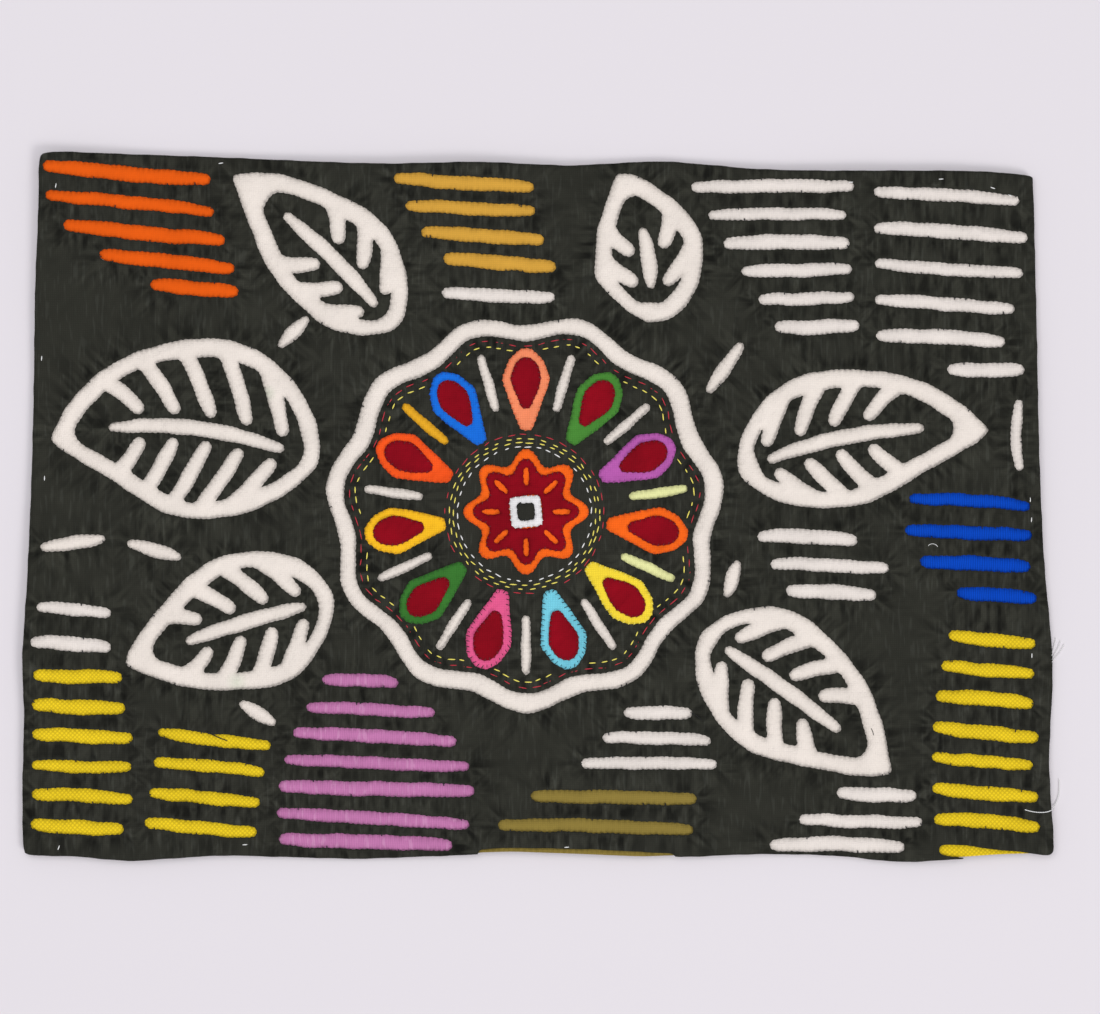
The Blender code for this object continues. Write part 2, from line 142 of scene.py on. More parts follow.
def rounded(line, most):
    """The line with its corners cut, each time by no more than a given length."""
    for _ in range(CORNER_CUTS):
        step = np.roll(line, -1, axis=0) - line
        share = np.minimum(SIDE_SHARE, most / np.hypot(*step.T))[:, None]
        line = np.stack([line + step * share, line + step * (1 - share)], axis=1).reshape(-1, 2)
    return line


FEWEST_POINTS = 12


def spaced(line, spacing):
    """The closed line again, with its points evenly spaced."""
    closed = np.vstack([line, line[:1]])
    run = np.concatenate([[0], np.cumsum(np.hypot(*np.diff(closed, axis=0).T))])
    at = np.linspace(0, run[-1], max(FEWEST_POINTS, round(run[-1] / spacing)), endpoint=False)
    return np.stack([np.interp(at, run, closed[:, 0]), np.interp(at, run, closed[:, 1])], axis=1)


def inward(line):
    """Unit vectors from each point of a line into its cloth."""
    run = np.roll(line, -1, axis=0) - np.roll(line, 1, axis=0)
    run /= np.maximum(np.hypot(*run.T), TINY)[:, None]
    return np.stack([-run[:, 1], run[:, 0]], axis=1)


# The two waves that a hand-cut edge wavers by: each one's share, and its length over 2 pi
SLOW_SHARE = 0.6
SLOW_WAVE = 2.9
QUICK_SHARE = 0.4
QUICK_WAVE = 1.6

# How strongly a stitch holds an edge, and how far it draws it out there and lets it in between
HOLD = (0.3, 1.3)
HELD_OUT = -0.7
FREE_IN = 0.3


def hand_cut(line, corner, waver, notch, seed):
    """A line as scissors and needle leave it: rounded, wavering, and drawn out where each stitch holds it."""
    line = spaced(rounded(line, corner), EDGE_SPACING)
    drawn = random.Random(seed)
    slow, quick = drawn.uniform(0, math.tau), drawn.uniform(0, math.tau)
    run = np.arange(len(line)) * EDGE_SPACING
    waves = SLOW_SHARE * np.sin(run / SLOW_WAVE + slow) + QUICK_SHARE * np.sin(run / QUICK_WAVE + quick)
    held = np.arange(len(line)) % POINTS_PER_STITCH == 0
    strength = np.array([drawn.uniform(*HOLD) for _ in line])
    pull = waver * waves + notch * strength * np.where(held, HELD_OUT, FREE_IN)
    return line + inward(line) * pull[:, None]


# How many spots are looked at together, so that tables stay small
SPOTS_AT_ONCE = 4000


def inside(spots, line):
    """Which spots lie inside a closed line."""
    found = np.zeros(len(spots), bool)
    near = np.nonzero(((spots > line.min(axis=0)) & (spots < line.max(axis=0))).all(axis=1))[0]
    ahead = np.roll(line, -1, axis=0)
    rise = np.where(ahead[:, 1] == line[:, 1], TINY, ahead[:, 1] - line[:, 1])
    for start in range(0, len(near), SPOTS_AT_ONCE):
        part = near[start : start + SPOTS_AT_ONCE]
        x, y = spots[part, 0, None], spots[part, 1, None]
        spans = (line[:, 1] > y) != (ahead[:, 1] > y)
        cross = line[:, 0] + (y - line[:, 1]) / rise * (ahead[:, 0] - line[:, 0])
        found[part] = (spans & (x < cross)).sum(axis=1) % 2 == 1
    return found


def uncovered(spots, lines):
    """Which spots no cloth covers, for cloths whose outlines and cuts lie one inside another."""
    return sum(inside(spots, line).astype(int) for line in lines) % 2 == 0


# How far a spot of a grid is shaken, as a share of the spacing
GRID_SHAKE = 0.12
GRID_SEED = 5


def even_grid(line, spacing):
    """Evenly spread spots inside a closed line, shaken a little so that no rows show."""
    low, high = line.min(axis=0), line.max(axis=0)
    rows = []
    for index, y in enumerate(np.arange(low[1], high[1], spacing * math.sin(math.pi / 3))):
        x = np.arange(low[0] + index % 2 * spacing / 2, high[0], spacing)
        rows.append(np.stack([x, np.full(len(x), y)], axis=1))
    spots = np.vstack(rows)
    shakes = np.random.default_rng(GRID_SEED).uniform(-GRID_SHAKE, GRID_SHAKE, spots.shape)
    spots = spots + shakes * spacing
    return spots[inside(spots, line)]


class Seams:
    """Sewn lines, and where any spot lies from the nearest of them."""

    def __init__(self, lines):
        self.spots = np.vstack(lines)
        self.ahead = np.vstack([np.roll(line, -1, axis=0) for line in lines])
        self.sides = np.vstack([inward(line) for line in lines])
        runs, before, start = [], [], 0
        for line in lines:
            step = np.hypot(*(np.roll(line, -1, axis=0) - line).T)
            runs.append(np.cumsum(step) - step + start)
            before.append(np.roll(np.arange(start, start + len(line)), 1))
            start += len(line)
        self.runs, self.before = np.concatenate(runs), np.concatenate(before)
        self.tree = kdtree.KDTree(len(self.spots))
        for index, (x, y) in enumerate(self.spots):
            self.tree.insert((x, y, 0), index)
        self.tree.balance()

    def near(self, spots):
        """For each spot the distance to the nearest seam, the run along it, and its unit vector inward."""
        nearest = np.array([self.tree.find((x, y, 0))[1] for x, y in spots], int)
        away, run = np.full(len(spots), np.inf), np.zeros(len(spots))
        for index in (nearest, self.before[nearest]):
            start, step = self.spots[index], self.ahead[index] - self.spots[index]
            length = np.maximum(np.hypot(*step.T), TINY)
            share = np.clip(((spots - start) * step).sum(axis=1) / length**2, 0, 1)
            distance = np.hypot(*(spots - start - step * share[:, None]).T)
            closer = distance < away
            away[closer] = distance[closer]
            run[closer] = (self.runs[index] + share * length)[closer]
        return away, run, self.sides[nearest]


# Cells of noise to a wavelength, the depth in the noise between seeds, and what brings it to about 1
NOISE_CELLS = 2
SEED_DEPTH = 7.7
NOISE_GAIN = 1.6


def swell(spots, wavelength, seed):
    """Smooth noise between about -1 and 1."""
    scaled = spots / wavelength * NOISE_CELLS
    return np.array([noise.noise((x, y, seed * SEED_DEPTH)) for x, y in scaled]) * NOISE_GAIN


# How the waves along a seam come early and late: by how many radians, at what rate, and from where
DRIFTS = ((0.9, 0.37, 0.0), (0.7, 0.151, 1.0))


def gathered(run, pitch):
    """Uneven waves along a seam, one to each stitch or pucker."""
    turn = math.tau * run / pitch
    for size, rate, start in DRIFTS:
        turn = turn + size * np.sin(run * rate + start)
    return np.cos(turn)


def by_seam(depth, reach):
    """1 at a seam, and less the further in."""
    return np.exp(-depth / reach)


def past_seam(depth, reach):
    """0 at a seam, and about 1 well inside."""
    return 1 - np.exp(-depth / reach)


def bead(depth, height, place, width):
    """A low ridge beside a seam, over the edge that is turned under."""
    return height * np.exp(-(((depth - place) / width) ** 2))


def rolled(depth, radius):
    """Drop of a rounded edge, as a quarter circle."""
    short = np.clip(radius - depth, 0, radius)
    return np.sqrt(radius**2 - short**2) - radius


# Creases that seams pull up: how strong, how far from a seam they start and reach, and how many ways they run
PULL = 1.5
PULL_START = 0.9
PULL_REACH = 7.0
PULL_WAYS = 4

# The even share of that strength, the share that comes and goes, and over what length
PULL_EVEN = 0.75
PULL_PATCHY = 0.5
PULL_PATCH = 26


def pulls(spots, seams, seed):
    """How strongly the seams crease the cloth at each spot, each way that a crease may run."""
    depth, _, across = seams.near(spots)
    strength = PULL * by_seam(depth, PULL_REACH) * past_seam(depth, PULL_START)
    strength *= PULL_EVEN + PULL_PATCHY * swell(spots, PULL_PATCH, seed)
    ways = []
    for way in range(PULL_WAYS):
        turn = way * math.pi / PULL_WAYS
        along_way = across @ np.array([-math.sin(turn), math.cos(turn)])
        ways.append(np.clip(2 * along_way**2 - 1, 0, 1) * np.clip(strength, 0, 1))
    return ways


RIM = rounded(cut_lines("base_cloth")[0], CORNER)
RIM_SEAM = Seams([spaced(RIM, 1.0)])

# How the rim curls up: half its greatest height, its waves' length over 2 pi, and how far in it reaches
CURL = 0.8
CURL_WAVE = 29.0
CURL_REACH = 10.0

# How unevenly the panel lies: height, wavelength and seed of each swell
UNEVEN = ((0.3, 160, 1), (0.2, 60, 2))


def lift(spots):
    """How far the panel stands off the table: it lies a little uneven, and its rim curls up in places."""
    depth, run, _ = RIM_SEAM.near(spots)
    curl = CURL * (1 + np.sin(run / CURL_WAVE)) * by_seam(depth, CURL_REACH)
    uneven = sum(height * swell(spots, wavelength, seed) for height, wavelength, seed in UNEVEN)
    return CLEARANCE + uneven + curl + rolled(depth, RIM_ROLL)


# The triangulation gives only what lies inside, and makes one corner of those closer than this
INSIDE_ONLY = 1
ONE_CORNER = 1e-6


def flat_cloth(outline, cuts, spots):
    """Triangles between an outline and its cuts, with corners at the given spots too."""
    lines = [outline, *cuts]
    corners = [Vector(spot) for spot in np.vstack([*lines, spots])]
    faces, start = [], 0
    for line in lines:
        around = list(range(start, start + len(line)))
        faces.append(around if enclosed(line) > 0 else around[::-1])
        start += len(line)
    found, _, triangles, _, _, owners = delaunay_2d_cdt(corners, [], faces, INSIDE_ONLY, ONE_CORNER)
    kept = [triangle for triangle, owner in zip(triangles, owners) if owner == [0]]
    used = sorted({index for triangle in kept for index in triangle})
    place = {old: new for new, old in enumerate(used)}
    flat = np.array([found[index][:] for index in used])
    return flat, [[place[index] for index in triangle] for triangle in kept]


# Rows of spots beside an edge: how far in each lies, and how many of the edge's points go to one of its own.
# A spot is crowded where a seam is closer than this share of that depth.
EDGE_ROWS = ((0.16, 1), (EDGE_ROLL, 2))
CROWDED = 0.8

# The room that the other spots keep from the seams, on the ground and on a patch
GROUND_ROOM = 1.1
PATCH_ROOM = 0.8


def edge_rows(lines, seams):
    """Rows of spots beside each line, so that its rolled edge is round. Crowded ones are left out."""
    rows = []
    for line in lines:
        for depth, every in EDGE_ROWS:
            row = (line + inward(line) * depth)[::every]
            rows.append(row[seams.near(row)[0] > depth * CROWDED])
    return np.vstack(rows)


def edged_cloth(lines, spacing, room):
    """The seams and triangles of a cloth with rolled edges. Its grid keeps some room from them."""
    seams = Seams(lines)
    grid = even_grid(lines[0], spacing)
    for cut in lines[1:]:
        grid = grid[~inside(grid, cut)]
    grid = grid[seams.near(grid)[0] > room]
    flat, faces = flat_cloth(lines[0], lines[1:], np.vstack([edge_rows(lines, seams), grid]))
    return seams, flat, faces


def raised(flat, faces, heights, **marks):
    """A bmesh of a flat cloth with each corner raised to its height and marked for the finish to read."""
    bm = bmesh.new()
    layers = [(bm.verts.layers.float.new(name), values) for name, values in marks.items()]
    verts = []
    for index, (x, y) in enumerate(flat):
        vert = bm.verts.new((x, y, heights[index]))
        for layer, values in layers:
            vert[layer] = values[index]
        verts.append(vert)
    for face in faces:
        bm.faces.new([verts[index] for index in face])
    return bm


def tuck(bm, edges, profile):
    """Turns open edges under. Each step of the profile is a fall, and a way back under the cloth."""
    for fall, back in profile:
        toward = {}
        for edge in edges:
            corner = edge.link_loops[0]
            run = (corner.link_loop_next.vert.co - corner.vert.co).to_2d().normalized()
            for vert in edge.verts:
                toward[vert] = toward.get(vert, Vector((0, 0))) + Vector((-run.y, run.x))
        made = bmesh.ops.extrude_edge_only(bm, edges=edges)["geom"]
        joining = [part for part in made if isinstance(part, bmesh.types.BMEdge)]
        edges = []
        for edge in joining:
            old = [vert for vert in edge.verts if vert in toward]
            if old:
                step = toward[old[0]].normalized() * back
                edge.other_vert(old[0]).co = old[0].co + Vector((step.x, step.y, -fall))
            else:
                edges.append(edge)


def placed(name, data):
    """A new object in the scene."""
    thing = bpy.data.objects.new(name, data)
    bpy.context.scene.collection.objects.link(thing)
    return thing


def meshed(name, bm, finish):
    """A bmesh as a new object with its finish."""
    mesh = bpy.data.meshes.new(name)
    bm.to_mesh(mesh)
    bm.free()
    mesh.materials.append(finish)
    return placed(name, mesh)


def finished(name, bm, finish, nodes=()):
    """A bmesh in millimetres as a piece in metres, with its finish, its body and the nodes it stands for."""
    bmesh.ops.scale(bm, vec=(MM, MM, MM), verts=bm.verts)
    piece = meshed(name, bm, finish)
    piece.data.shade_smooth()
    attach(piece, "root")
    if nodes:
        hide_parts(*nodes)
    return piece


# The angles at which an outline is boxed in, in degrees
BOX_TURNS = np.arange(0, 90, 3)


def least_box(outline):
    """The sides of the smallest rectangle that an outline was cut from, whichever way it lies."""
    sizes = []
    for turn in np.radians(BOX_TURNS):
        turned = outline @ np.array([[math.cos(turn), -math.sin(turn)], [math.sin(turn), math.cos(turn)]])
        sizes.append(turned.max(axis=0) - turned.min(axis=0))
    return min(sizes, key=np.prod)


# The ground's edges at its cuts and at its rim: their waver, the notch at each stitch, and the tuck
CUT_HAND = (0.22, 0.26)
CUT_TUCK = ((0.9, 0.35),)
RIM_HAND = (0.1, 0.0)
RIM_TUCK = ((0.7, 0.2), (0.45, 0.5))

# The ground's relief: the bead beside its seams, puckers, dimples at the stitches, and billows further in
GROUND_BEAD = (0.2, 1.5, 1.4)
PUCKER = 0.3
PUCKER_REACH = 5
PUCKER_START = 0.8
DIMPLE = 0.09
DIMPLE_REACH = 1.2
BILLOW = 0.3
BILLOW_WAVE = 13
BILLOW_START = 3


def ground_cloth(name, node, finish, seed):
    """A charcoal cloth with its cuts: rolled edges, a smooth fold at the rim, creases along every seam."""
    has_rim = node == "ground_cloth"
    lines = []
    for k, line in enumerate(cut_lines(node)):
        corner = SLIT_CORNER if abs(enclosed(line)) < SLIT_AREA else CORNER
        hand = RIM_HAND if has_rim and k == 0 else CUT_HAND
        lines.append(hand_cut(line, corner, *hand, seed + k))
    seams, flat, faces = edged_cloth(lines, GROUND_SPACING, GROUND_ROOM)
    depth, run, _ = seams.near(flat)
    heights = GROUND_LEVEL + rolled(depth, EDGE_ROLL) + lift(flat)
    heights += bead(depth, *GROUND_BEAD)
    puckers = PUCKER * gathered(run, PUCKER_PITCH)
    heights += puckers * by_seam(depth, PUCKER_REACH) * past_seam(depth, PUCKER_START)
    heights += DIMPLE * gathered(run, STITCH_PITCH) * by_seam(depth, DIMPLE_REACH)
    heights += BILLOW * swell(flat, BILLOW_WAVE, seed + 2) * past_seam(depth, BILLOW_START)
    # Marks of how strongly the seams pull up creases each way, which the finish draws as a bump and as
    # painted shade and highlight
    ways = pulls(flat, Seams(lines[1:]) if has_rim else seams, seed)
    bm = raised(flat, faces, heights, **{f"pull_{way}": pull for way, pull in enumerate(ways)})
    open_edges = [edge for edge in bm.edges if edge.is_boundary]
    middles = np.array([((edge.verts[0].co + edge.verts[1].co) / 2)[:2] for edge in open_edges])
    at_rim = RIM_SEAM.near(middles)[0] < RIM_ROLL
    tuck(bm, [edge for edge, rim in zip(open_edges, at_rim) if not rim], CUT_TUCK)
    if has_rim:
        tuck(bm, [edge for edge, rim in zip(open_edges, at_rim) if rim], RIM_TUCK)
    return finished(name, bm, finish, [node]), lines


# Painted shade beside a seam: how dark it is evenly, and by how much less between stitches
SEAM_SHADE_EVEN = 0.6
SEAM_SHADE_LESS = 0.4


def dents(depth, run, reach):
    """Painted shade beside a seam, most where a stitch draws the cloth down."""
    return by_seam(depth, reach) * (SEAM_SHADE_EVEN - SEAM_SHADE_LESS * gathered(run, STITCH_PITCH))


# Lower cloths: how their corners are cut, and the spacing of their outlines' points
LOWER_CORNER = 2.0
LOWER_EDGE = 4.0

# Where they show: how soon they swell up, ribs between the stitches beside them, lumps, and the reach of the
# painted shade beside the seams
CROWN_START = 1.2
RIB = 0.14
RIB_REACH = 3.0
LUMP = 0.16
LUMP_WAVE = 5
LUMP_SEED = 12
LOWER_SHADE_REACH = 0.9


def lower_cloth(name, node, level, crown, seams, shows, finish):
    """A cloth under the ground, which swells up where it shows, ribbed by the stitches beside it."""
    outline = spaced(rounded(cut_lines(node)[0], LOWER_CORNER), LOWER_EDGE)
    past_rim = np.maximum(RIM_INSET - RIM_SEAM.near(outline)[0], 0)
    outline = outline + inward(outline) * past_rim[:, None]
    fine = even_grid(outline, SHOWN_SPACING)
    coarse = even_grid(outline, HIDDEN_SPACING)
    flat, faces = flat_cloth(outline, [], np.vstack([fine[shows(fine)], coarse[~shows(coarse)]]))
    depth, run, _ = seams.near(flat)
    shown = shows(flat)
    ribs = gathered(run, STITCH_PITCH) * by_seam(depth, RIB_REACH)
    swelling = crown * past_seam(depth, CROWN_START) + RIB * ribs + LUMP * swell(flat, LUMP_WAVE, LUMP_SEED)
    heights = level + lift(flat) + shown * swelling
    # Marked for the finish: painted shade beside the seams, only where the cloth shows
    bm = raised(flat, faces, heights, dent=shown * dents(depth, run, LOWER_SHADE_REACH))
    return finished(name, bm, finish, [node]), outline


# Patches: how far their edges waver and are notched, and their tuck
PATCH_HAND = (0.15, 0.25)
PATCH_TUCK = ((0.5, 0.15),)

# Their relief: the bead beside the edge, billows, dimples at the stitches, and the reach of the painted shade
# beside the edge
PATCH_BEAD = (0.12, 1.2, 0.9)
PATCH_BILLOW = 0.35
PATCH_WAVE = 6
PATCH_DIMPLE = 0.14
PATCH_REACH = 1.4
PATCH_SHADE_REACH = 0.7


def sewn_patch(name, node, level, finish, seed, corner, wider):
    """A small cloth sewn on top, with its edge turned under and drawn down at each stitch."""
    lines = [hand_cut(line, corner, *PATCH_HAND, seed + k) for k, line in enumerate(cut_lines(node))]
    lines = [line - inward(line) * wider for line in lines]
    seams, flat, faces = edged_cloth(lines, SHOWN_SPACING, PATCH_ROOM)
    depth, run, _ = seams.near(flat)
    heights = level + rolled(depth, EDGE_ROLL) + lift(flat)
    heights += bead(depth, *PATCH_BEAD) + PATCH_BILLOW * swell(flat, PATCH_WAVE, seed)
    heights += PATCH_DIMPLE * gathered(run, STITCH_PITCH) * by_seam(depth, PATCH_REACH)
    # Marked for the finish: painted shade beside the patch's edge
    bm = raised(flat, faces, heights, dent=dents(depth, run, PATCH_SHADE_REACH))
    tuck(bm, [edge for edge in bm.edges if edge.is_boundary], PATCH_TUCK)
    return finished(name, bm, finish, [node]), lines


def add_hem(finish):
    """The charcoal cloth's edge, turned under all round the rim."""
    bm = bmesh.new()
    edge = spaced(RIM, HEM_SPACING)
    rows = []
    for inset in HEM_ROWS:
        row = edge + inward(edge) * inset
        heights = lift(row) - rolled(np.full(len(row), inset), RIM_ROLL) - HEM_GAP
        rows.append([bm.verts.new((x, y, z)) for (x, y), z in zip(row, heights)])
    for outer, inner in zip(rows, rows[1:]):
        for a, b, c, d in zip(outer, outer[1:] + outer[:1], inner[1:] + inner[:1], inner):
            bm.faces.new((d, c, b, a))
    return finished("hem", bm, finish)


# Height over everything, from which the surface is looked for
LOOKOUT = 30.0


class Top:
    """The uppermost surface of some pieces, in millimetres."""

    def __init__(self, pieces):
        self.trees = []
        for piece in pieces:
            verts = [vert.co / MM for vert in piece.data.vertices]
            faces = [tuple(face.vertices) for face in piece.data.polygons]
            self.trees.append(BVHTree.FromPolygons(verts, faces))

    def over(self, x, y):
        """The point of the surface at a place, or just over the table where there is none."""
        hits = [tree.ray_cast(Vector((x, y, LOOKOUT)), Vector((0, 0, -1)))[0] for tree in self.trees]
        return Vector((x, y, max((hit.z for hit in hits if hit), default=THREAD / 2)))

    def resting(self, line, rise):
        """Points of a line laid on the surface, a rise above it."""
        return [self.over(x, y) + Vector((0, 0, rise)) for x, y in line]


# A stitch's height as a share of its width, and how finely it is made
STITCH_HEIGHT = 0.9
STITCH_SIDES = 6
STITCH_RINGS = 4


def add_stitch(bm, start, end, thick=THREAD):
    """One stitch between two points of the surface, half sunk in the cloth."""
    run = end - start
    turn = run.to_track_quat("Z", "Y")
    size = Vector((thick, thick * STITCH_HEIGHT, run.length))
    place = Matrix.LocRotScale((start + end) / 2, turn, size)
    bmesh.ops.create_uvsphere(bm, u_segments=STITCH_SIDES, v_segments=STITCH_RINGS, radius=0.5, matrix=place)


# Running stitches: the step along their line, how early or late one starts as a share of the pitch, how its
# length varies, and how far its ends lie off the line
PATH_STEP = 0.5
EARLY_LATE = 0.1
RUNNING_LENGTHS = (0.8, 1.15)
OFF_LINE = 0.25


def running_stitches(bm, line, top, seed, length, pitch, thick, covers):
    """Stitches in a row along a line, each a little off it as a hand sews, but none on a cover."""
    drawn = random.Random(seed)
    path = spaced(line, PATH_STEP)
    for k in range(round(len(path) * PATH_STEP / pitch)):
        first = (k + drawn.uniform(-EARLY_LATE, EARLY_LATE)) * pitch / PATH_STEP
        last = first + length * drawn.uniform(*RUNNING_LENGTHS) / PATH_STEP
        ends = path[[round(first) % len(path), round(last) % len(path)]]
        ends = ends + [[drawn.uniform(-OFF_LINE, OFF_LINE) for _ in range(2)] for _ in ends]
        if not any(inside(ends, cover).any() for cover in covers):
            add_stitch(bm, top.over(*ends[0]), top.over(*ends[1]), thick)


# Oversewing: steps along the edge to a stitch, how its reach varies, how far its outer end lies out and down,
# and how far its inner end stands up
OVER_STEPS = 4
OVER_REACHES = (0.7, 1.2)
OVER_OUT = 0.3
OVER_DOWN = 0.3
OVER_UP = 0.12


def overcast_stitches(bm, line, top, seed, reach):
    """Short stitches over an edge, all slanting the same way."""
    drawn = random.Random(seed)
    path = spaced(line, STITCH_PITCH / OVER_STEPS)
    sides = inward(path)
    for k in range(0, len(path) - 2, OVER_STEPS):
        inner = top.over(*(path[k + 1] + sides[k] * reach * drawn.uniform(*OVER_REACHES)))
        outer = path[k] - sides[k] * OVER_OUT
        add_stitch(bm, Vector((*outer, inner.z - OVER_DOWN)), inner + Vector((0, 0, OVER_UP)))


# A loose thread's sides, and how much longer each length of it is than the step it covers
THREAD_SIDES = 6
OVERLAP = 1.1


def add_thread(bm, points, thick):
    """A loose end of thread through points of the surface, in short round lengths."""
    for start, end in zip(points, points[1:]):
        run = end - start
        place = Matrix.LocRotScale((start + end) / 2, run.to_track_quat("Z", "Y"), None)
        size = {"radius1": thick / 2, "radius2": thick / 2, "depth": run.length * OVERLAP}
        bmesh.ops.create_cone(bm, cap_ends=True, segments=THREAD_SIDES, matrix=place, **size)


CIRCLE_POINTS = 90


def heading(angle):
    """A unit vector that points a way, in degrees."""
    return np.array([math.cos(math.radians(angle)), math.sin(math.radians(angle))])


def circle(centre, radius):
    """A circle as a closed line that runs counter-clockwise."""
    turn = np.linspace(0, math.tau, CIRCLE_POINTS, endpoint=False)
    return np.array(centre) + radius * np.stack([np.cos(turn), np.sin(turn)], axis=1)


def linear(hex_colour):
    """An sRGB hex colour as the linear values that a shader takes, by the numbers of that standard."""
    parts = [int(hex_colour[i : i + 2], 16) / 255 for i in (1, 3, 5)]
    return (*[p / 12.92 if p <= 0.04045 else ((p + 0.055) / 1.055) ** 2.4 for p in parts], 1.0)


def dimmed(colour, share):
    """A linear colour at a share of its brightness."""
    return (*[part * share for part in colour[:3]], 1.0)


def add_node(tree, kind, inputs, output=0, **settings):
    """An output of one new shader node. Inputs are values or sockets to link from, by name or in order."""
    node = tree.nodes.new("ShaderNode" + kind)
    for name, value in settings.items():
        setattr(node, name, value)
    for key, value in inputs.items() if isinstance(inputs, dict) else enumerate(inputs):
        if isinstance(value, bpy.types.NodeSocket):
            tree.links.new(value, node.inputs[key])
        else:
            node.inputs[key].default_value = value
    return node.outputs[output]


def new_material(name, roughness):
    """A new material of one roughness, with its nodes and its shader."""
    material = bpy.data.materials.new(name)
    material.use_nodes = True
    shader = material.node_tree.nodes["Principled BSDF"]
    shader.inputs["Roughness"].default_value = roughness
    return material, material.node_tree, shader


# Creases, in millimetres: the width over which one follows the next, and how many times longer they are
CREASE_WIDTH = 3.4
CREASE_LENGTHS = 4

# The noise at which a crease is deepest and at which the cloth lies highest, and the painted shade at each:
# dark in a crease, a painted highlight where it lies highest
CREASE_NOISE = (0.38, 0.6)
CREASE_SHADE_AND_HIGHLIGHT = (0.3, 1.35)


def creases(tree, place):
    """Painted shade and highlight of the creases that the seams pull up: about 1 where the cloth is flat,
    darker in a crease, lighter where it lies highest.
    """
    shade = 1.0
    for way in range(PULL_WAYS):
        along_crease = {
            "Vector": place,
            "Rotation": (0, 0, way * math.pi / PULL_WAYS),
            "Scale": (CREASE_WIDTH * MM, CREASE_LENGTHS * CREASE_WIDTH * MM, 1.0),
        }
        moved = add_node(tree, "Mapping", along_crease, vector_type="TEXTURE")
        fold = add_node(tree, "TexNoise", {"Vector": moved, "Scale": 1.0, "Detail": 1.5}, "Fac")
        # Painted shade in a crease and painted highlight where the cloth lies highest
        deep = add_node(tree, "MapRange", (fold, *CREASE_NOISE, *CREASE_SHADE_AND_HIGHLIGHT))
        pull = add_node(tree, "Attribute", {}, "Fac", attribute_name=f"pull_{way}")
        part = add_node(tree, "Mix", {0: pull, 2: 1.0, 3: deep})
        shade = add_node(tree, "Math", (part, shade), operation="MULTIPLY")
    return shade


# Faint water stains on the cream cloth, as (x, y, radius) in millimetres, and their strength in the middle
STAIN = "#cfd8bd"
STAINS = ((-125.8, -73.0, 5.0), (-112.9, 47.5, 4.0))
STAIN_SHARE = 0.5


def stained(tree, place, colour, spots):
    """Faint round stains on a colour, each weaker towards its edge."""
    for x, y, radius in spots:
        flat = add_node(tree, "VectorMath", (place, (1, 1, 0)), operation="MULTIPLY")
        middle = (x * MM, y * MM, 0)
        away = add_node(tree, "VectorMath", (flat, middle), "Value", operation="DISTANCE")
        amount = add_node(tree, "MapRange", (away, 0.0, radius * MM, STAIN_SHARE, 0.0))
        colour = add_node(tree, "Mix", {0: amount, 6: colour, 7: linear(STAIN)}, 2, data_type="RGBA")
    return colour


# Cells to a metre of the noises that bend the threads, thicken them, cloud the dye, and make lumps and fuzz
BEND_CELLS = 90.0
SLUB_CELLS = (900.0, 110.0, 900.0)
CLOUD_CELLS = 70.0
LUMP_CELLS = 420.0
FUZZ_CELLS = 1300.0

# How far the threads bend, in metres, and the noise over which a slub or a cloud of dye comes up
BEND = 1.6 * MM
SLUB_NOISE = (0.6, 0.74)
CLOUD_NOISE = (0.3, 0.7)

# Painted shade at its darkest beside a seam, where a stitch draws the cloth down, and how deep a crease is
DARKEST_SEAM_SHADE = 0.55
CREASE_DEPTH = 0.5

COTTON_ROUGHNESS = 0.9
COTTON_SPECULAR = 0.1


